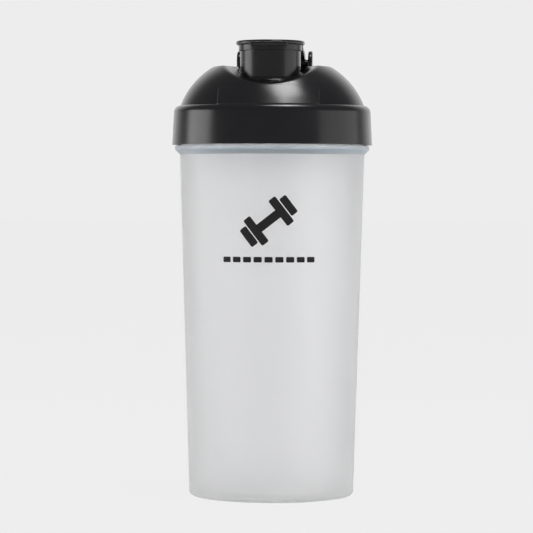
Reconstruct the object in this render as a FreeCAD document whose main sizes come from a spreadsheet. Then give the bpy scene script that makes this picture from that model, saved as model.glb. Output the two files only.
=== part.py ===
import FreeCAD, Part
import math
import os

import Sketcher

# A shaker bottle: a tapered cup with a screw lid, a hinged flip cap over the lid's spout, and a
# mixing grid clipped under the lid. Millimetres, +Z up, origin at the centre of the base, front at -Y.

SIZES = {
    # cup
    "cup_base_radius": 39.9,       # the wall's taper carried down to the table
    "cup_shoulder_radius": 44.85,  # the wall where it meets the collar
    "cup_wall": 1.9,
    "cup_floor": 2.2,
    "cup_corner": 2.5,
    "cup_inner_corner": 4.0,
    "foot_width": 3.2,
    "foot_recess": 1.8,
    "collar_bottom": 165.7,
    "collar_top": 169.9,
    "collar_radius": 47.2,
    "collar_edge": 0.5,
    "neck_radius": 44.45,
    "neck_wall": 1.5,
    "rim_height": 186.9,
    # screw thread
    "thread_lead": 6.0,
    "thread_turns": 1.25,
    "thread_depth": 1.5,
    "thread_root": 2.4,
    "thread_crest": 1.2,
    "cup_thread_height": 175.4,
    "thread_gap": 0.35,
    "thread_radial_gap": 0.6,
    # lid: skirt and dome
    "skirt_bottom": 170.4,
    "skirt_bottom_radius": 48.65,
    "skirt_top_radius": 47.65,
    "skirt_edge": 3.4,
    "skirt_chamfer": 1.2,
    "step_height": 189.5,
    "top_wall": 2.2,
    "dome_arc_radius": 37.5,
    "dome_arc_offset": 9.6,
    "dome_arc_height": 176.1,
    "dome_wall": 2.0,
    "plateau_height": 208.4,
    # lid: apron in front, scoop round the spout, channel behind it
    "apron_radius": 46.3,
    "apron_arc": 100.0,
    "apron_top": 201.0,
    "apron_top_radius": 37.5,
    "apron_half_width": 24.3,
    "apron_edge": 1.4,
    "scoop_radius": 50.0,
    "scoop_slope": 10.0,
    "scoop_lip_height": 199.4,
    "scoop_lip_reach": 38.0,
    "channel_half_width": 16.1,
    "channel_floor": 203.6,
    # lid: spout
    "spout_reach": 18.0,
    "spout_radius": 14.5,
    "spout_bore": 12.0,
    "spout_shoulder": 215.0,
    "spout_lip_radius": 13.3,
    "spout_top": 217.6,
    "flare_radius": 2.6,
    "flare_rise": 0.7,
    "lip_fillet": 3.0,
    # lid: sealing wedge that holds the grid
    "wedge_outer": 42.55,
    "wedge_inner": 40.7,
    "wedge_bottom": 180.0,
    "wedge_lead_in": 0.5,
    "groove_radius": 41.5,
    "groove_bottom": 181.0,
    "groove_top": 184.2,
    # hinge
    "hinge_reach": 25.0,
    "hinge_height": 211.0,
    "ear_radius": 6.3,
    "ear_inner": 16.5,
    "ear_outer": 18.65,
    "ear_edge": 0.8,
    "pin_radius": 2.15,
    "pin_clearance": 0.05,
    "barrel_radius": 4.2,
    "barrel_half_length": 15.1,
    # flip cap
    "cap_top": 220.0,
    "cap_disc_radius": 16.5,
    "cap_disc_thickness": 2.1,
    "cap_disc_edge": 0.9,
    "cap_skirt_radius": 15.2,
    "cap_skirt_wall": 1.4,
    "cap_skirt_bottom": 215.3,
    "plug_top_radius": 11.6,
    "plug_tip_radius": 10.9,
    "plug_wall": 1.4,
    "plug_bottom": 213.0,
    "arm_thickness": 2.8,
    "arm_start": 10.0,
    "arm_step": 0.8,
    "thumb_half_width": 9.0,
    "thumb_reach": 1.4,
    "thumb_drop": 0.8,
    "thumb_depth": 6.0,
    "thumb_edge": 0.7,
    # mixing grid
    "grid_radius": 41.15,
    "grid_rim": 2.4,
    "grid_bottom": 181.35,
    "grid_rim_height": 2.5,
    "grid_plate": 1.6,
    "grid_bar": 1.2,
    "grid_pitch": 5.2,
}

doc = FreeCAD.newDocument("shaker_bottle")
sheet = doc.addObject("Spreadsheet::Sheet", "Sizes")
for row, (alias, value) in enumerate(SIZES.items(), start=1):
    sheet.set("A%d" % row, alias)
    sheet.set("B%d" % row, str(value))
    sheet.setAlias("B%d" % row, alias)
doc.recompute()


def size(expression):
    """The value of an expression over the sheet, such as 'Sizes.cup_wall * 2'."""
    return float(sheet.evalExpression(expression))


def origin_plane(body, role):
    return next(f for f in body.Origin.OriginFeatures if f.Role == role)


def outline(body, name, role, points, arcs=None):
    """A closed sketch through points, each an (x, y) pair of expressions over the sheet. arcs maps a
    point's index to (radius, bulge): the edge from it to the next point is an arc of that radius
    which bulges to the left (1) or to the right (-1) of the way it goes."""
    arcs = arcs or {}
    sketch = body.newObject("Sketcher::SketchObject", name)
    sketch.AttachmentSupport = [(origin_plane(body, role), "")]
    sketch.MapMode = "FlatFace"
    places = [FreeCAD.Vector(size(x), size(y), 0) for x, y in points]
    ends = []                                    # each edge's vertex numbers in the sketch: (start, end)
    for i, start in enumerate(places):
        end = places[(i + 1) % len(places)]
        if i not in arcs:
            sketch.addGeometry(Part.LineSegment(start, end))
            ends.append((1, 2))
            continue
        radius, bulge = size(arcs[i][0]), arcs[i][1]
        chord = end - start
        left = FreeCAD.Vector(-chord.y, chord.x, 0).normalize()
        centre = (start + end) * 0.5 - left * (bulge * math.sqrt(radius ** 2 - (chord.Length / 2) ** 2))
        first, last = (start, end) if bulge < 0 else (end, start)
        angles = [math.atan2(p.y - centre.y, p.x - centre.x) for p in (first, last)]
        circle = Part.Circle(centre, FreeCAD.Vector(0, 0, 1), radius)
        sketch.addGeometry(Part.ArcOfCircle(circle, *angles))
        ends.append((1, 2) if bulge < 0 else (2, 1))
    for i, (x, y) in enumerate(points):
        before = (i - 1) % len(points)
        sketch.addConstraint(Sketcher.Constraint("Coincident", before, ends[before][1], i, ends[i][0]))
        for kind, expression, axis in (("DistanceX", x, -2), ("DistanceY", y, -1)):
            if expression == "0":
                sketch.addConstraint(Sketcher.Constraint("PointOnObject", i, ends[i][0], axis))
                continue
            bind(sketch, Sketcher.Constraint(kind, -1, 1, i, ends[i][0], size(expression)), expression)
    for i, (radius, bulge) in arcs.items():
        bind(sketch, Sketcher.Constraint("Radius", i, size(radius)), radius)
    return sketch


def bind(sketch, constraint, expression):
    number = sketch.addConstraint(constraint)
    sketch.setExpression("Constraints[%d]" % number, expression)


def revolved(name, points, arcs=None):
    """A body of one outline in the XZ plane turned about Z."""
    body = doc.addObject("PartDesign::Body", name)
    sketch = outline(body, name + "_outline", "XZ_Plane", points, arcs)
    turn = body.newObject("PartDesign::Revolution", name + "_turn")
    turn.Profile = sketch
    turn.ReferenceAxis = (sketch, ["V_Axis"])
    turn.Angle = 360
    sketch.Visibility = False
    doc.recompute()
    return body


def primitive(kind, name, sizes, base=("0", "0", "0"), turn=None):
    """A Part primitive with its sizes and its place bound to the sheet."""
    solid = doc.addObject("Part::" + kind, name)
    for prop, expression in sizes.items():
        solid.setExpression(prop, expression)
    for axis, expression in zip("xyz", base):
        if expression != "0":
            solid.setExpression("Placement.Base." + axis, expression)
    if turn:
        solid.Placement.Rotation = turn
    return solid


def joined(kind, name, base, tool):
    """A boolean of two objects: Cut, Fuse or Common."""
    result = doc.addObject("Part::" + kind, name)
    result.Base = base
    result.Tool = tool
    doc.recompute()
    return result


# ---------------------------------------------------------------- cup

def make_cup():
    taper = "(Sizes.cup_shoulder_radius - Sizes.cup_base_radius) / Sizes.collar_bottom"
    wall = "Sizes.cup_base_radius + %s * " % taper
    floor = "Sizes.foot_recess + Sizes.cup_floor"
    foot_outer = "Sizes.cup_base_radius - Sizes.cup_corner"
    foot_inner = "Sizes.cup_base_radius - Sizes.cup_corner - Sizes.foot_width"
    neck_inner = "Sizes.neck_radius - Sizes.neck_wall"
    points = [
        ("0", "Sizes.foot_recess"),
        (foot_inner + " - Sizes.foot_recess", "Sizes.foot_recess"),
        (foot_inner, "0"),
        (foot_outer, "0"),
        (wall + "Sizes.cup_corner", "Sizes.cup_corner"),
        ("Sizes.cup_shoulder_radius", "Sizes.collar_bottom"),
        ("Sizes.collar_radius", "Sizes.collar_bottom + Sizes.collar_radius - Sizes.cup_shoulder_radius"),
        ("Sizes.collar_radius", "Sizes.collar_top - Sizes.collar_edge"),
        ("Sizes.collar_radius - Sizes.collar_edge", "Sizes.collar_top"),
        ("Sizes.neck_radius", "Sizes.collar_top"),
        ("Sizes.neck_radius", "Sizes.rim_height"),
        (neck_inner, "Sizes.rim_height"),
        (neck_inner, "Sizes.collar_bottom"),
        (wall + "(%s + Sizes.cup_inner_corner) - Sizes.cup_wall" % floor,
         floor + " + Sizes.cup_inner_corner"),
        (wall + "(%s) - Sizes.cup_wall - Sizes.cup_inner_corner" % floor, floor),
        ("0", floor),
    ]
    arcs = {3: ("Sizes.cup_corner", -1), 7: ("Sizes.collar_edge", -1), 13: ("Sizes.cup_inner_corner", 1)}
    body = revolved("cup", points, arcs)
    thread(body, "cup_thread", "Sizes.neck_radius", 1, "Sizes.cup_thread_height")
    return body


def thread(body, name, wall_radius, side, height):
    """A helical ridge on a wall: side 1 stands outwards from it, -1 inwards. height is the middle of
    the ridge's lower end. The root goes a little way into the wall so that the two join."""
    root = "%s - %d * Sizes.collar_edge" % (wall_radius, side)
    tip = "%s + %d * Sizes.thread_depth" % (wall_radius, side)
    points = [
        (root, height + " - Sizes.thread_root / 2"),
        (tip, height + " - Sizes.thread_crest / 2"),
        (tip, height + " + Sizes.thread_crest / 2"),
        (root, height + " + Sizes.thread_root / 2"),
    ]
    sketch = outline(body, name + "_section", "XZ_Plane", points)
    ridge = body.newObject("PartDesign::AdditiveHelix", name)
    ridge.Profile = sketch
    ridge.ReferenceAxis = (sketch, ["V_Axis"])
    ridge.Mode = 1
    ridge.setExpression("Pitch", "Sizes.thread_lead")
    ridge.setExpression("Turns", "Sizes.thread_turns")
    ridge.LeftHanded = False
    ridge.Reversed = False
    sketch.Visibility = False
    doc.recompute()
    return ridge


# ---------------------------------------------------------------- lid

SKIRT_INSIDE = "Sizes.neck_radius + Sizes.thread_depth + Sizes.thread_radial_gap"


def dome_radius(height, inwards="0"):
    """The dome's radius at a height, as an expression; inwards moves its surface in by a wall."""
    above = "(%s - Sizes.dome_arc_height)" % height
    return "Sizes.dome_arc_offset + sqrt((Sizes.dome_arc_radius - %s)^2 - %s^2)" % (inwards, above)


def lid_envelope():
    """The outside of the skirt, the step and the dome up to its flat top, as one solid."""
    narrowing = "(Sizes.skirt_bottom_radius - Sizes.skirt_top_radius)"
    slope = narrowing + " / (Sizes.step_height - Sizes.skirt_bottom)"
    edge_start = "Sizes.skirt_top_radius + %s * Sizes.skirt_edge" % slope
    points = [
        ("0", "Sizes.skirt_bottom"),
        ("Sizes.skirt_bottom_radius", "Sizes.skirt_bottom"),
        (edge_start, "Sizes.step_height - Sizes.skirt_edge"),
        (edge_start + " - Sizes.skirt_edge", "Sizes.step_height"),
        (dome_radius("Sizes.step_height"), "Sizes.step_height"),
        (dome_radius("Sizes.plateau_height"), "Sizes.plateau_height"),
        ("0", "Sizes.plateau_height"),
    ]
    arcs = {2: ("Sizes.skirt_edge", -1), 4: ("Sizes.dome_arc_radius", -1)}
    return revolved("lid_envelope", points, arcs)


def lid_apron():
    """The fuller front of the dome below the scoop, square at its sides. It leaves the dome almost
    in line near the lip and stands out most at the step."""
    points = [
        ("0", "Sizes.skirt_bottom + Sizes.skirt_edge"),
        ("Sizes.apron_radius", "Sizes.skirt_bottom + Sizes.skirt_edge"),
        ("Sizes.apron_radius", "Sizes.step_height"),
        ("Sizes.apron_top_radius", "Sizes.apron_top"),
        ("0", "Sizes.apron_top"),
    ]
    turned = revolved("apron_form", points, {2: ("Sizes.apron_arc", -1)})
    band = primitive("Box", "apron_band", {
        "Length": "2 * Sizes.apron_half_width",
        "Width": "Sizes.skirt_bottom_radius",
        "Height": "Sizes.plateau_height - Sizes.skirt_bottom",
    }, ("-Sizes.apron_half_width", "-Sizes.skirt_bottom_radius", "Sizes.skirt_bottom"))
    apron = joined("Common", "apron_block", turned, band)
    half_width = size("Sizes.apron_half_width")
    return rounded("apron", apron, "Sizes.apron_edge", lambda edge: (
        abs(abs(edge.CenterOfMass.x) - half_width) < 0.5 and edge.CenterOfMass.y < -half_width))


def scoop(name, outwards="0"):
    """A tilted cylinder that scoops the top out round the spout; outwards makes it larger by a wall."""
    tilt = math.radians(size("Sizes.scoop_slope"))
    length = 4 * size("Sizes.skirt_bottom_radius")
    along = FreeCAD.Vector(0, -math.cos(tilt), -math.sin(tilt))
    normal = FreeCAD.Vector(0, -math.sin(tilt), math.cos(tilt))
    lip = FreeCAD.Vector(0, -size("Sizes.scoop_lip_reach"), size("Sizes.scoop_lip_height"))
    tool = primitive("Cylinder", name, {"Radius": "Sizes.scoop_radius + %s" % outwards})
    tool.Height = length
    tool.Placement = FreeCAD.Placement(
        lip + normal * size("Sizes.scoop_radius") - along * (length / 2),
        FreeCAD.Rotation(FreeCAD.Vector(0, 0, 1), along))
    return tool


def channel(name, outwards="0"):
    """The slot behind the spout where the flip cap's arm and hinge lie, open to the back."""
    return primitive("Box", name, {
        "Length": "2 * Sizes.channel_half_width + 2 * %s" % outwards,
        "Width": "Sizes.spout_reach + Sizes.skirt_bottom_radius",
        "Height": "Sizes.cap_top - Sizes.channel_floor + %s" % outwards,
    }, ("-Sizes.channel_half_width - %s" % outwards, "-Sizes.spout_reach - %s" % outwards,
        "Sizes.channel_floor - %s" % outwards))


def spout_post(name, radius, bottom, top):
    """An upright cylinder on the spout's axis."""
    return primitive("Cylinder", name, {"Radius": radius, "Height": "%s - (%s)" % (top, bottom)},
                     ("0", "-Sizes.spout_reach", bottom))


def hinge_rod(name, radius, half_length):
    """A cylinder on the hinge's axis."""
    return primitive("Cylinder", name, {"Radius": radius, "Height": "2 * %s" % half_length},
                     ("-%s" % half_length, "Sizes.hinge_reach", "Sizes.hinge_height"),
                     FreeCAD.Rotation(FreeCAD.Vector(0, 1, 0), 90))


def ear(name, side):
    """One hinge ear: a round-topped plate that stands on the dome beside the channel."""
    left = "Sizes.ear_inner" if side > 0 else "-Sizes.ear_outer"
    disc = primitive("Cylinder", name + "_disc", {
        "Radius": "Sizes.ear_radius", "Height": "Sizes.ear_outer - Sizes.ear_inner",
    }, (left, "Sizes.hinge_reach", "Sizes.hinge_height"), FreeCAD.Rotation(FreeCAD.Vector(0, 1, 0), 90))
    foot = primitive("Box", name + "_foot", {
        "Length": "Sizes.ear_outer - Sizes.ear_inner", "Width": "2 * Sizes.ear_radius",
        "Height": "Sizes.hinge_height - Sizes.channel_floor + Sizes.dome_wall",
    }, (left, "Sizes.hinge_reach - Sizes.ear_radius", "Sizes.channel_floor - Sizes.dome_wall"))
    plate = joined("Fuse", name + "_plate", disc, foot)
    plate.Refine = True
    doc.recompute()
    foot_top = size("Sizes.plateau_height")
    return rounded(name, plate, "Sizes.ear_edge", lambda edge: (
        edge.BoundBox.XLength < 0.01 and edge.BoundBox.ZMax > foot_top))


def rounded(name, base, radius, test):
    """A fillet on the edges of base that pass the test."""
    fillet = doc.addObject("Part::Fillet", name)
    fillet.Base = base
    amount = size(radius)
    picked = [i for i, edge in enumerate(base.Shape.Edges, start=1) if test(edge)]
    if not picked:
        raise SystemExit("no edge to round on " + base.Name)
    fillet.Edges = [(i, amount, amount) for i in picked]
    doc.recompute()
    return fillet


def lid_cavity():
    """The inside of the skirt and of the dome as one solid, to be cut from the envelope."""
    ceiling = "Sizes.plateau_height - Sizes.dome_wall"
    inner_arc = "(Sizes.dome_arc_radius - Sizes.dome_wall)"
    reach = "(Sizes.wedge_inner - Sizes.dome_arc_offset)"
    spring = "Sizes.dome_arc_height + sqrt(%s^2 - %s^2)" % (inner_arc, reach)
    roof = "Sizes.step_height - Sizes.top_wall"
    points = [
        ("0", "Sizes.skirt_bottom"),
        (SKIRT_INSIDE, "Sizes.skirt_bottom"),
        (SKIRT_INSIDE, roof + " - Sizes.skirt_chamfer * 2"),
        (SKIRT_INSIDE + " - Sizes.skirt_chamfer", roof),
        ("Sizes.wedge_inner", roof),
        ("Sizes.wedge_inner", spring),
        (dome_radius(ceiling, "Sizes.dome_wall"), ceiling),
        ("0", ceiling),
    ]
    whole = revolved("cavity_form", points, {5: (inner_arc, -1)})
    under_scoop = joined("Cut", "cavity_under_scoop", whole, scoop("scoop_and_wall", "Sizes.dome_wall"))
    return joined("Cut", "cavity", under_scoop, channel("channel_and_wall", "Sizes.dome_wall"))


def sealing_wedge():
    """The ring that plugs the cup's neck. A groove inside it holds the mixing grid's rim."""
    roof = "Sizes.step_height - Sizes.top_wall"
    lead_in = "Sizes.wedge_lead_in"
    points = [
        ("Sizes.wedge_inner", "Sizes.wedge_bottom"),
        ("Sizes.wedge_outer - %s" % lead_in, "Sizes.wedge_bottom"),
        ("Sizes.wedge_outer", "Sizes.wedge_bottom + 3 * %s" % lead_in),
        ("Sizes.wedge_outer", roof + " + " + lead_in),
        ("Sizes.wedge_inner", roof + " + " + lead_in),
        ("Sizes.wedge_inner", "Sizes.groove_top"),
        ("Sizes.groove_radius", "Sizes.groove_top"),
        ("Sizes.groove_radius", "Sizes.groove_bottom"),
        ("Sizes.wedge_inner", "Sizes.groove_bottom"),
    ]
    return revolved("sealing_wedge", points)


def spout_flare():
    """The hollow curve at the spout's foot. It shows at the front, where the scoop is lowest."""
    foot = "Sizes.scoop_lip_height + Sizes.flare_rise"
    points = [
        ("Sizes.spout_bore", "Sizes.scoop_lip_height"),
        ("Sizes.spout_radius + Sizes.flare_radius", "Sizes.scoop_lip_height"),
        ("Sizes.spout_radius + Sizes.flare_radius", foot),
        ("Sizes.spout_radius", foot + " + Sizes.flare_radius"),
        ("Sizes.spout_bore", foot + " + Sizes.flare_radius"),
    ]
    flare = revolved("spout_flare", points, {2: ("Sizes.flare_radius", 1)})
    flare.setExpression("Placement.Base.y", "-Sizes.spout_reach")
    return flare


def make_lid():
    front = joined("Fuse", "dome_and_apron", lid_envelope(), lid_apron())
    scooped = joined("Cut", "scooped_dome", front, scoop("scoop"))
    body = spout_post("spout_body", "Sizes.spout_radius", "Sizes.step_height", "Sizes.spout_shoulder")
    lip = spout_post("spout_lip", "Sizes.spout_lip_radius", "Sizes.step_height", "Sizes.spout_top")
    spout = joined("Fuse", "spout", joined("Fuse", "plain_spout", body, lip), spout_flare())
    blank = joined("Fuse", "lid_blank", scooped, spout)
    plateau = size("Sizes.plateau_height")

    def scoop_edge(edge):
        """The edges of the flat top, and the one where the scoop leaves the dome's front."""
        return max(abs(v.Z - plateau) for v in edge.Vertexes) < 0.01 and edge.BoundBox.XLength > 5

    hollow = joined("Cut", "hollow_lid", blank, lid_cavity())
    keep_spout = spout_post("spout_keep", "Sizes.spout_radius", "Sizes.step_height", "Sizes.cap_top")
    slot = joined("Cut", "channel_round_spout", channel("channel"), keep_spout)
    channelled = joined("Cut", "channelled_lid", hollow, slot)
    ears = joined("Fuse", "ears", ear("left_ear", -1), ear("right_ear", 1))
    with_ears = joined("Fuse", "lid_with_ears", channelled, ears)
    wedged = joined("Fuse", "wedged_lid", with_ears, sealing_wedge())
    ridge = doc.addObject("PartDesign::Body", "lid_thread")
    thread(ridge, "lid_thread_ridge", SKIRT_INSIDE, -1,
           "Sizes.cup_thread_height - Sizes.thread_root - Sizes.thread_gap")
    threaded = joined("Fuse", "threaded_lid", wedged, ridge)
    bore = spout_post("spout_hole", "Sizes.spout_bore", "Sizes.step_height", "Sizes.cap_top")
    bored = joined("Cut", "bored_lid", threaded, bore)
    hole_radius = "(Sizes.pin_radius + Sizes.pin_clearance)"
    pin_hole = hinge_rod("pin_hole", hole_radius, "Sizes.skirt_bottom_radius")
    pinned = joined("Cut", "pinned_lid", bored, pin_hole)
    return rounded("lid", pinned, "Sizes.lip_fillet", scoop_edge)


# ---------------------------------------------------------------- flip cap

def cap_crown():
    """The cap's disc, its short skirt round the spout's lip and its plug, turned on the spout's axis."""
    under = "Sizes.cap_top - Sizes.cap_disc_thickness"
    skirt_inside = "Sizes.cap_skirt_radius - Sizes.cap_skirt_wall"
    points = [
        ("0", under),
        ("Sizes.plug_top_radius - Sizes.plug_wall", under),
        ("Sizes.plug_tip_radius - Sizes.plug_wall", "Sizes.plug_bottom"),
        ("Sizes.plug_tip_radius", "Sizes.plug_bottom"),
        ("Sizes.plug_top_radius", under),
        (skirt_inside, under),
        (skirt_inside, "Sizes.cap_skirt_bottom"),
        ("Sizes.cap_skirt_radius", "Sizes.cap_skirt_bottom"),
        ("Sizes.cap_skirt_radius", under),
        ("Sizes.cap_disc_radius - Sizes.cap_disc_edge", under),
        ("Sizes.cap_disc_radius", under + " + Sizes.cap_disc_edge"),
        ("Sizes.cap_disc_radius", "Sizes.cap_top - Sizes.cap_disc_edge"),
        ("Sizes.cap_disc_radius - Sizes.cap_disc_edge", "Sizes.cap_top"),
        ("0", "Sizes.cap_top"),
    ]
    crown = revolved("cap_crown", points, {9: ("Sizes.cap_disc_edge", -1), 11: ("Sizes.cap_disc_edge", -1)})
    crown.setExpression("Placement.Base.y", "-Sizes.spout_reach")
    return crown


def cap_arm():
    """The plate from the crown down to the hinge, as wide as the crown's skirt."""
    body = doc.addObject("PartDesign::Body", "cap_arm")
    start = "-Sizes.spout_reach + Sizes.arm_start"
    under = "Sizes.cap_top - Sizes.cap_disc_thickness"
    barrel_top = "Sizes.hinge_height + Sizes.barrel_radius"
    points = [
        (start, under),
        (start, "Sizes.cap_top - Sizes.arm_step"),
        ("Sizes.hinge_reach", barrel_top),
        ("Sizes.hinge_reach", "Sizes.hinge_height"),
        ("Sizes.hinge_reach - Sizes.barrel_radius", "Sizes.hinge_height"),
        ("Sizes.hinge_reach - Sizes.barrel_radius", barrel_top + " - Sizes.arm_thickness"),
        (start + " + Sizes.cap_skirt_wall", under + " - Sizes.arm_step"),
    ]
    sketch = outline(body, "cap_arm_outline", "YZ_Plane", points)
    pad = body.newObject("PartDesign::Pad", "cap_arm_pad")
    pad.Profile = sketch
    pad.Midplane = True
    pad.setExpression("Length", "2 * Sizes.barrel_half_length")
    sketch.Visibility = False
    doc.recompute()
    return body


def cap_thumb():
    """The lip at the front that a thumb lifts, a little deeper than the disc."""
    bar = primitive("Box", "thumb_bar", {
        "Length": "2 * Sizes.thumb_half_width",
        "Width": "Sizes.thumb_reach + Sizes.thumb_depth",
        "Height": "Sizes.cap_disc_thickness + Sizes.thumb_drop - Sizes.cap_disc_edge",
    }, ("-Sizes.thumb_half_width", "-Sizes.spout_reach - Sizes.cap_disc_radius - Sizes.thumb_reach",
        "Sizes.cap_top - Sizes.cap_disc_thickness - Sizes.thumb_drop"))
    doc.recompute()
    front = size("-Sizes.spout_reach - Sizes.cap_disc_radius - Sizes.thumb_reach")
    return rounded("thumb_lip", bar, "Sizes.thumb_edge", lambda edge: edge.BoundBox.YMin < front + 0.01)


def make_flip_cap():
    barrel = hinge_rod("hinge_barrel", "Sizes.barrel_radius", "Sizes.barrel_half_length")
    pins = hinge_rod("hinge_pins", "Sizes.pin_radius", "Sizes.ear_outer")
    hinge = joined("Fuse", "cap_hinge", barrel, pins)
    room = spout_post("spout_room", "(Sizes.cap_skirt_radius - Sizes.cap_skirt_wall)", "Sizes.wedge_bottom",
                      "Sizes.cap_top - Sizes.cap_disc_thickness")
    arm = joined("Fuse", "cap_arm_and_thumb", cap_arm(), cap_thumb())
    arm_clear = joined("Cut", "cap_arm_clear", arm, room)
    top = joined("Fuse", "cap_top_piece", cap_crown(), arm_clear)
    return joined("Fuse", "flip_cap", top, hinge)


# ---------------------------------------------------------------- mixing grid

def make_mixing_grid():
    """A snap-in rim with a square lattice of bars across it."""
    rim = revolved("grid_rim_ring", [
        ("Sizes.grid_radius - Sizes.grid_rim", "Sizes.grid_bottom"),
        ("Sizes.grid_radius", "Sizes.grid_bottom"),
        ("Sizes.grid_radius", "Sizes.grid_bottom + Sizes.grid_rim_height"),
        ("Sizes.grid_radius - Sizes.grid_rim", "Sizes.grid_bottom + Sizes.grid_rim_height"),
    ])
    pitch, opening = size("Sizes.grid_pitch"), size("Sizes.grid_pitch - Sizes.grid_bar")
    inside = size("Sizes.grid_radius - Sizes.grid_rim")
    height = size("Sizes.grid_bottom")
    reach = int(inside / pitch)
    middle = size("Sizes.grid_radius - Sizes.grid_rim / 2")
    wires = [Part.Wire(Part.makeCircle(middle, FreeCAD.Vector(0, 0, height)))]
    for column in range(-reach, reach + 1):
        for row in range(-reach, reach + 1):
            x, y = column * pitch, row * pitch
            if math.hypot(abs(x) + opening / 2, abs(y) + opening / 2) < inside:
                corners = [FreeCAD.Vector(x + sx * opening / 2, y + sy * opening / 2, height)
                           for sx, sy in ((-1, -1), (1, -1), (1, 1), (-1, 1), (-1, -1))]
                wires.append(Part.makePolygon(corners))
    face = doc.addObject("Part::Feature", "grid_face")
    face.Shape = Part.makeFace(wires, "Part::FaceMakerBullseye")
    plate = doc.addObject("Part::Extrusion", "grid_lattice")
    plate.Base = face
    plate.Dir = FreeCAD.Vector(0, 0, 1)
    plate.Solid = True
    plate.setExpression("LengthFwd", "Sizes.grid_plate")
    doc.recompute()
    return joined("Fuse", "mixing_grid", rim, plate)


nodes = {
    "cup": make_cup(),
    "lid": make_lid(),
    "flip_cap": make_flip_cap(),
    "mixing_grid": make_mixing_grid(),
}

# ---------------------------------------------------------------- files

doc.recompute()
for item in doc.Objects:
    if "Invalid" in item.State or "Error" in item.State:
        raise SystemExit("%s failed: %s" % (item.Name, item.State))
os.makedirs("parts", exist_ok=True)
for node, item in nodes.items():
    item.Label = node
    shape = item.Shape
    if shape.isNull() or not shape.isValid():
        raise SystemExit("%s has no valid shape" % node)
    shape.exportStep("parts/%s.step" % node)
    box = shape.BoundBox
    print("%-12s %3d solids %9.1f mm3  x %.2f..%.2f  y %.2f..%.2f  z %.2f..%.2f" % (
        node, len(shape.Solids), shape.Volume, box.XMin, box.XMax, box.YMin, box.YMax, box.ZMin, box.ZMax))
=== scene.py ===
"""Protein shaker bottle: finishes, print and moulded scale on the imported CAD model, with its studio."""

import math

import bmesh
import bpy
from mathutils import Matrix, Vector


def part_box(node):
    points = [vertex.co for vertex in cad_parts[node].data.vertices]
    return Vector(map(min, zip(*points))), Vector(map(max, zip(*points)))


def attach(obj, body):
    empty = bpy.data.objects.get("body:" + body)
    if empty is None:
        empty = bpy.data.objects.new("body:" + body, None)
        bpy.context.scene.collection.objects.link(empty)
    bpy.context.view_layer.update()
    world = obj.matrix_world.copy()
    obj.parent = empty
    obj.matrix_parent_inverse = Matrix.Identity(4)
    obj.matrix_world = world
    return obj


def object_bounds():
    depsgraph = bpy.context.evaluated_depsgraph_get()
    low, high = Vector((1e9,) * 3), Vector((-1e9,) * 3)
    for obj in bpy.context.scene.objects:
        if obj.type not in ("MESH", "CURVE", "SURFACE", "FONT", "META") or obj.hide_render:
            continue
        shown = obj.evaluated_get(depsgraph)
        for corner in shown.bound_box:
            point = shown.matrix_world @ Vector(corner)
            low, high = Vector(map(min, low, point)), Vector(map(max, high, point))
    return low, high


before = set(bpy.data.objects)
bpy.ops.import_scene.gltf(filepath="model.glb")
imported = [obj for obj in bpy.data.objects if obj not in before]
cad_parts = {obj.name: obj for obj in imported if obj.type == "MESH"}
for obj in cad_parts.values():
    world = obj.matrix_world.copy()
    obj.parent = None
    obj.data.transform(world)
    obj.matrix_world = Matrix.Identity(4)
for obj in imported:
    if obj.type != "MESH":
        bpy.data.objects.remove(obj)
cad_low, cad_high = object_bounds()
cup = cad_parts["cup"]
cup_low, cup_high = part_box("cup")
lid_low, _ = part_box("lid")
height = cad_high.z

MM = 0.001
ML = 1e-6

# ---------------------------------------------------------------- camera

# The frame is as wide as 1.18 bottle heights where the bottle stands.
CAMERA_DISTANCE = 1.34
CAMERA_HEIGHT = 0.149
CAMERA_TURN = 3.0
CAMERA_ROLL = 0.15
FRAME_WIDTH = 1.18 * height
AIM_HEIGHT = 0.506 * height
AIM_SIDE = -0.0026


def around(turn, distance=1.0, z=0.0):
    """A point at an angle round the bottle from the camera's side, positive to the viewer's right."""
    angle = math.radians(CAMERA_TURN + turn)
    return Vector((distance * math.sin(angle), -distance * math.cos(angle), z))


def aim(thing, target, roll=0.0):
    """Turns a camera or a light, whose own view is along its -Z, towards a point."""
    direction = Vector(target) - thing.location
    turn = direction.to_track_quat("-Z", "Y").to_matrix()
    thing.rotation_euler = (turn @ Matrix.Rotation(math.radians(roll), 3, "Z")).to_euler()


def make_camera():
    data = bpy.data.cameras.new("camera")
    data.sensor_width = 36.0
    data.lens = data.sensor_width * CAMERA_DISTANCE / FRAME_WIDTH
    data.clip_start = 0.05
    data.clip_end = 50.0
    camera = bpy.data.objects.new("camera", data)
    bpy.context.scene.collection.objects.link(camera)
    camera.location = around(0.0, CAMERA_DISTANCE, CAMERA_HEIGHT)
    aim(camera, around(90.0, AIM_SIDE, AIM_HEIGHT), CAMERA_ROLL)
    bpy.context.scene.camera = camera


# ---------------------------------------------------------------- materials

def new_material(name):
    """A node material, its links, its shader, and a function that adds a node with its input values."""
    material = bpy.data.materials.new(name)
    material.use_nodes = True
    tree = material.node_tree
    shader = next(node for node in tree.nodes if node.type == "BSDF_PRINCIPLED")

    def add(kind, **values):
        node = tree.nodes.new(kind)
        for key, value in values.items():
            node.inputs[key].default_value = value
        return node

    return material, tree.links, shader, add


def set_shader(shader, **values):
    for name, value in values.items():
        shader.inputs[name.replace("_", " ")].default_value = value


def noise(links, add, coordinates, scale, detail=2.0):
    texture = add("ShaderNodeTexNoise", Scale=scale, Detail=detail)
    links.new(coordinates.outputs["Object"], texture.inputs["Vector"])
    return texture


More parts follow.
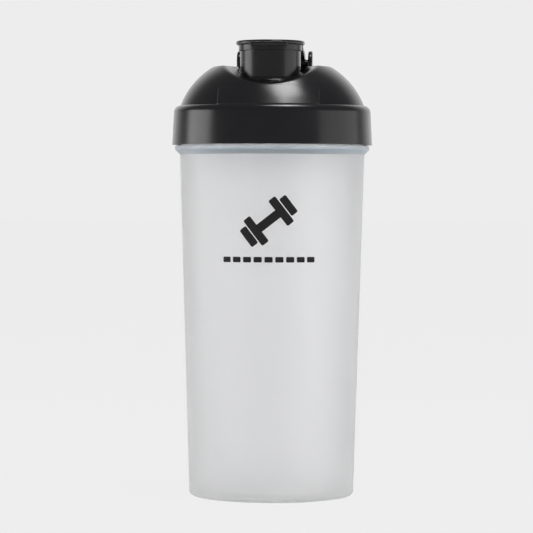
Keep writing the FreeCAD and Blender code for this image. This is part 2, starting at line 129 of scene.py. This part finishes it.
def spread(links, add, texture, low, high):
    """The texture's middle range as values from low to high."""
    ramp = add("ShaderNodeMapRange")
    ramp.inputs["From Min"].default_value = 0.3
    ramp.inputs["From Max"].default_value = 0.7
    ramp.inputs["To Min"].default_value = low
    ramp.inputs["To Max"].default_value = high
    links.new(texture.outputs["Fac"], ramp.inputs["Value"])
    return ramp.outputs["Result"]


def bump(links, add, shader, texture, strength, distance):
    node = add("ShaderNodeBump", Strength=strength, Distance=distance)
    links.new(texture.outputs["Fac"], node.inputs["Height"])
    links.new(node.outputs["Normal"], shader.inputs["Normal"])


COLLAR_DEPTH = 4.6 * MM
CLEAR_TINT = (0.975, 0.977, 0.985, 1.0)
PALE_TINT = (0.988, 0.989, 0.995, 1.0)
# Painted shade: the lid's shadow on the collar, tinted blue partly as the thicker plastic.
COLLAR_SHADE_TINT = (0.82, 0.92, 1.0, 1.0)


def collar_band(links, add, place):
    """How much painted shade the collar gets, the lid's shadow partly with the thicker plastic's blue:
    nothing at its foot, full, then nothing in a light line under the lid.
    """
    level = add("ShaderNodeSeparateXYZ")
    links.new(place.outputs["Object"], level.inputs["Vector"])
    rise = add("ShaderNodeMapRange")
    rise.inputs["From Min"].default_value = lid_low.z - COLLAR_DEPTH
    rise.inputs["From Max"].default_value = lid_low.z
    links.new(level.outputs["Z"], rise.inputs["Value"])
    band = add("ShaderNodeValToRGB")
    stops = band.color_ramp.elements
    stops[1].position = 0.18
    for position, grey in ((0.60, 1.0), (0.78, 0.0)):
        stops.new(position).color = (grey, grey, grey, 1.0)
    links.new(rise.outputs["Result"], band.inputs["Fac"])
    return band.outputs["Color"]


def frosted_plastic(name, clearness):
    """Natural polypropylene with a spark-eroded outer face: milky, and lit through."""
    material, links, shader, add = new_material(name)
    set_shader(shader, IOR=1.49, Transmission_Weight=clearness)
    place = add("ShaderNodeTexCoord")
    cloud = noise(links, add, place, 28.0, 3.0)
    tint = add("ShaderNodeMixRGB", Color1=CLEAR_TINT, Color2=PALE_TINT)
    links.new(cloud.outputs["Fac"], tint.inputs["Fac"])
    # Painted shade of the lid on the collar band, partly the thicker plastic's blue tint.
    collar = add("ShaderNodeMixRGB", Color2=COLLAR_SHADE_TINT)
    links.new(collar_band(links, add, place), collar.inputs["Fac"])
    links.new(tint.outputs["Color"], collar.inputs["Color1"])
    links.new(collar.outputs["Color"], shader.inputs["Base Color"])
    grain = noise(links, add, place, 900.0, 2.0)
    links.new(spread(links, add, grain, 0.40, 0.48), shader.inputs["Roughness"])
    bump(links, add, shader, grain, 0.10, 0.0002)
    return material


def black_plastic():
    """Satin black polypropylene with a faint moulded grain."""
    material, links, shader, add = new_material("black_polypropylene")
    set_shader(shader, IOR=1.49, Base_Color=(0.0068, 0.0062, 0.0076, 1.0))
    place = add("ShaderNodeTexCoord")
    grain = noise(links, add, place, 1400.0, 2.0)
    haze = noise(links, add, place, 45.0, 4.0)
    links.new(spread(links, add, haze, 0.18, 0.28), shader.inputs["Roughness"])
    bump(links, add, shader, grain, 0.12, 0.0001)
    return material


def print_ink():
    material, links, shader, add = new_material("black_ink")
    set_shader(shader, IOR=1.45, Base_Color=(0.004, 0.004, 0.0045, 1.0))
    place = add("ShaderNodeTexCoord")
    grain = noise(links, add, place, 2200.0, 2.0)
    links.new(spread(links, add, grain, 0.50, 0.60), shader.inputs["Roughness"])
    bump(links, add, shader, grain, 0.15, 0.00005)
    return material


def finish_node(name, material):
    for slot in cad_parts[name].material_slots:
        slot.material = material


# ---------------------------------------------------------------- flat shapes wrapped on the cup

STRIP = 1.5 * MM


def cup_wall(angle, z):
    """The point of the cup's outer wall at an angle from the front and a height, and its normal."""
    outwards = Vector((math.sin(angle), -math.cos(angle), 0.0))
    start = outwards * (2 * cup_high.x)
    start.z = z
    hit, point, normal, _ = cup.ray_cast(start, -outwards)
    if not hit:
        raise RuntimeError("no cup wall at height %.3f" % z)
    return point, normal


def wrapped(name, flat, turn, base, proud, sunk):
    """A thin closed solid on the cup's wall from a flat mesh: x runs round from turn, y up from base."""
    for axis, normal in ((0, Vector((1, 0, 0))), (1, Vector((0, 1, 0)))):
        reach = [vertex.co[axis] for vertex in flat.verts]
        for step in range(math.ceil(min(reach) / STRIP), math.floor(max(reach) / STRIP) + 1):
            everything = flat.verts[:] + flat.edges[:] + flat.faces[:]
            bmesh.ops.bisect_plane(flat, geom=everything, plane_co=normal * step * STRIP, plane_no=normal)
    bmesh.ops.triangulate(flat, faces=flat.faces[:])
    bmesh.ops.remove_doubles(flat, verts=flat.verts[:], dist=1e-7)
    outlines = [edge for edge in flat.edges if len(edge.link_faces) == 1]
    front, back = {}, {}
    solid = bmesh.new()
    for vertex in flat.verts:
        z = base + vertex.co.y
        radius = math.hypot(*cup_wall(turn, z)[0][:2])
        point, normal = cup_wall(turn + vertex.co.x / radius, z)
        front[vertex] = solid.verts.new(point + normal * proud)
        back[vertex] = solid.verts.new(point - normal * sunk)
    for face in flat.faces:
        solid.faces.new([front[vertex] for vertex in face.verts])
        solid.faces.new([back[vertex] for vertex in reversed(face.verts)])
    for edge in outlines:
        one, other = edge.verts
        solid.faces.new([front[one], front[other], back[other], back[one]])
    bmesh.ops.recalc_face_normals(solid, faces=solid.faces[:])
    mesh = bpy.data.meshes.new(name)
    solid.to_mesh(mesh)
    solid.free()
    flat.free()
    piece = bpy.data.objects.new(name, mesh)
    bpy.context.scene.collection.objects.link(piece)
    return piece


def bar_outline(length, width, corner, centre=(0.0, 0.0), turn=0.0):
    """The corners of a rectangle with rounded corners, turned about its own centre."""
    spin = Matrix.Rotation(turn, 2)
    points = []
    for quarter, (sx, sy) in enumerate(((1, 1), (-1, 1), (-1, -1), (1, -1))):
        pivot = Vector((sx * (length / 2 - corner), sy * (width / 2 - corner)))
        for step in range(5):
            angle = math.radians(90 * quarter + 22.5 * step)
            point = pivot + corner * Vector((math.cos(angle), math.sin(angle)))
            points.append(spin @ point + Vector(centre))
    return points


def add_outline(flat, points):
    flat.faces.new([flat.verts.new((x, y, 0.0)) for x, y in points])


PRINT_TURN = math.radians(0.9)
PRINT_PROUD = 0.05 * MM
PRINT_SUNK = 0.02 * MM
MARK_HEIGHT = 0.609 * height
MARK_TILT = math.radians(38.0)
HANDLE_LENGTH = 12.0 * MM
HANDLE_WIDTH = 4.2 * MM
HANDLE_CORNER = 0.3 * MM
INNER_PLATE = (7.6 * MM, 15.0 * MM, 4.0 * MM)
OUTER_PLATE = (12.0 * MM, 10.0 * MM, 3.8 * MM)
PLATE_CORNER = 0.8 * MM
DASHES_HEIGHT = 0.526 * height
DASH_COUNT = 9
DASH_PITCH = 5.15 * MM
DASH_LENGTH = 3.9 * MM
DASH_WIDTH = 2.6 * MM
DASH_CORNER = 0.5 * MM


def make_print():
    """A generic dumbbell sign with a row of plain dashes under it, in black ink.

    A plate is given as its distance from the sign's middle, its length and its width.
    """
    mark = bmesh.new()
    along = Vector((math.cos(MARK_TILT), math.sin(MARK_TILT)))
    add_outline(mark, bar_outline(HANDLE_LENGTH, HANDLE_WIDTH, HANDLE_CORNER, turn=MARK_TILT))
    for side in (-1, 1):
        for reach, length, width in (INNER_PLATE, OUTER_PLATE):
            centre = along * side * reach
            add_outline(mark, bar_outline(width, length, PLATE_CORNER, centre, MARK_TILT))
    dashes = bmesh.new()
    for index in range(DASH_COUNT):
        centre = ((index - (DASH_COUNT - 1) / 2) * DASH_PITCH, 0.0)
        add_outline(dashes, bar_outline(DASH_LENGTH, DASH_WIDTH, DASH_CORNER, centre))
    for name, flat, base in (("print_mark", mark, MARK_HEIGHT), ("print_dashes", dashes, DASHES_HEIGHT)):
        piece = wrapped(name, flat, PRINT_TURN, base, PRINT_PROUD, PRINT_SUNK)
        piece.data.materials.append(ink)
        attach(piece, "cup")


# ---------------------------------------------------------------- moulded scale at the back

SCALE_FLOOR = 4.0 * MM
SCALE_PROUD = 0.40 * MM
SCALE_SUNK = 0.10 * MM
SCALE_LEFT = -13.0 * MM
LONG_LINE = 11.0 * MM
SHORT_LINE = 6.0 * MM
LINE_WIDTH = 1.0 * MM
LINE_CORNER = 0.4 * MM
NUMERAL_LEFT = 1.0 * MM
NUMERAL_SIZE = 7.5 * MM
WALL = 1.9 * MM


def fill_height(volume):
    """How high a volume of water stands in the cup."""
    step = 0.25 * MM
    z, filled = SCALE_FLOOR, 0.0
    while filled < volume:
        radius = math.hypot(*cup_wall(math.pi, z + step / 2)[0][:2]) - WALL
        filled += math.pi * radius ** 2 * step
        z += step
    return z


def add_numeral(flat, text, level):
    """Generic text of the scale as flat faces, its middle at a level."""
    curve = bpy.data.curves.new("numeral", "FONT")
    curve.body = text
    curve.size = NUMERAL_SIZE
    curve.resolution_u = 3
    curve.align_y = "CENTER"
    maker = bpy.data.objects.new("numeral", curve)
    bpy.context.scene.collection.objects.link(maker)
    mesh = bpy.data.meshes.new_from_object(maker.evaluated_get(bpy.context.evaluated_depsgraph_get()))
    mesh.transform(Matrix.Translation((NUMERAL_LEFT, level, 0.0)))
    flat.from_mesh(mesh)
    bpy.data.objects.remove(maker)
    bpy.data.meshes.remove(mesh)
    bpy.data.curves.remove(curve)


def make_scale():
    """Raised measuring lines every 50 ml with a numeral at each 100 ml, on the side away from the print."""
    flat = bmesh.new()
    base = cup_low.z
    for volume in range(100, 601, 50):
        level = fill_height(volume * ML) - base
        length = LONG_LINE if volume % 100 == 0 else SHORT_LINE
        centre = (SCALE_LEFT + length / 2, level)
        add_outline(flat, bar_outline(length, LINE_WIDTH, LINE_CORNER, centre))
        if volume % 100 == 0:
            add_numeral(flat, str(volume), level)
    add_numeral(flat, "ml", fill_height(650 * ML) - base)
    piece = wrapped("moulded_scale", flat, math.pi, base, SCALE_PROUD, SCALE_SUNK)
    piece.data.materials.append(raised)
    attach(piece, "cup")


# ---------------------------------------------------------------- studio

BACKDROP = 0.845
FLOOR_RADIUS = 12.0
FLOOR_GAP = 0.2 * MM


def make_world():
    """The surround: pale to the eye, darker than that in front of the bottle, bright behind it."""
    world = bpy.data.worlds.new("studio")
    bpy.context.scene.world = world
    world.use_nodes = True
    tree = world.node_tree
    tree.nodes.clear()
    output = tree.nodes.new("ShaderNodeOutputWorld")
    seen = tree.nodes.new("ShaderNodeBackground")
    seen.inputs["Color"].default_value = (BACKDROP, BACKDROP, BACKDROP, 1.0)
    around_light = tree.nodes.new("ShaderNodeBackground")
    place = tree.nodes.new("ShaderNodeTexCoord")
    split = tree.nodes.new("ShaderNodeSeparateXYZ")
    shade = tree.nodes.new("ShaderNodeMapRange")
    shade.interpolation_type = "SMOOTHSTEP"
    shade.inputs["From Min"].default_value = 0.50
    shade.inputs["From Max"].default_value = 0.90
    shade.inputs["To Min"].default_value = 0.25
    shade.inputs["To Max"].default_value = 1.35
    tree.links.new(place.outputs["Generated"], split.inputs["Vector"])
    tree.links.new(split.outputs["Y"], shade.inputs["Value"])
    tree.links.new(shade.outputs["Result"], around_light.inputs["Strength"])
    ray = tree.nodes.new("ShaderNodeLightPath")
    mix = tree.nodes.new("ShaderNodeMixShader")
    tree.links.new(ray.outputs["Is Camera Ray"], mix.inputs["Fac"])
    tree.links.new(around_light.outputs["Background"], mix.inputs[1])
    tree.links.new(seen.outputs["Background"], mix.inputs[2])
    tree.links.new(mix.outputs["Shader"], output.inputs["Surface"])


def make_floor():
    """A wide pale floor, just under the bottle, that the backdrop runs into."""
    mesh = bpy.data.meshes.new("floor")
    disc = bmesh.new()
    bmesh.ops.create_circle(disc, cap_ends=True, segments=96, radius=FLOOR_RADIUS)
    disc.to_mesh(mesh)
    disc.free()
    floor = bpy.data.objects.new("floor", mesh)
    bpy.context.scene.collection.objects.link(floor)
    floor.location.z = cad_low.z - FLOOR_GAP
    material, _, shader, _ = new_material("pale_floor")
    set_shader(shader, Base_Color=(0.03, 0.03, 0.03, 1.0), Roughness=0.9, Specular_IOR_Level=0.0)
    set_shader(shader, Emission_Color=(1.0, 1.0, 1.0, 1.0), Emission_Strength=0.83)
    mesh.materials.append(material)


def softbox(name, turn, distance, z, width, tall, watts, target_z, mirrored=True):
    """A rectangular light aimed at the bottle; one that isn't mirrored gives no reflection of itself."""
    data = bpy.data.lights.new(name, "AREA")
    data.shape = "RECTANGLE"
    data.size = width
    data.size_y = tall
    data.energy = watts
    light = bpy.data.objects.new(name, data)
    bpy.context.scene.collection.objects.link(light)
    light.location = around(turn, distance, z)
    light.visible_glossy = mirrored
    aim(light, (0.0, 0.0, target_z))


def make_lights():
    softbox("left_softbox", -93.0, 1.0, 0.20, 0.66, 0.40, 2.7, 0.20)
    softbox("right_softbox", 85.0, 1.0, 0.20, 1.15, 0.40, 1.45, 0.20)
    softbox("overhead_softbox", 45.0, 0.24, 1.15, 0.34, 0.34, 5.0, 0.20)
    softbox("left_fill", -50.0, 1.2, 0.25, 0.8, 0.5, 3.3, 0.10, mirrored=False)
    softbox("right_fill", 52.0, 1.2, 0.25, 0.8, 0.5, 5.4, 0.10, mirrored=False)


# ---------------------------------------------------------------- the scene

bpy.context.scene.view_settings.view_transform = "Standard"
frosted = frosted_plastic("frosted_polypropylene", 0.80)
raised = frosted_plastic("raised_polypropylene", 0.25)
black = black_plastic()
ink = print_ink()
make_camera()
finish_node("cup", frosted)
for name in ("lid", "flip_cap", "mixing_grid"):
    finish_node(name, black)
make_print()
make_scale()
make_world()
make_floor()
make_lights()
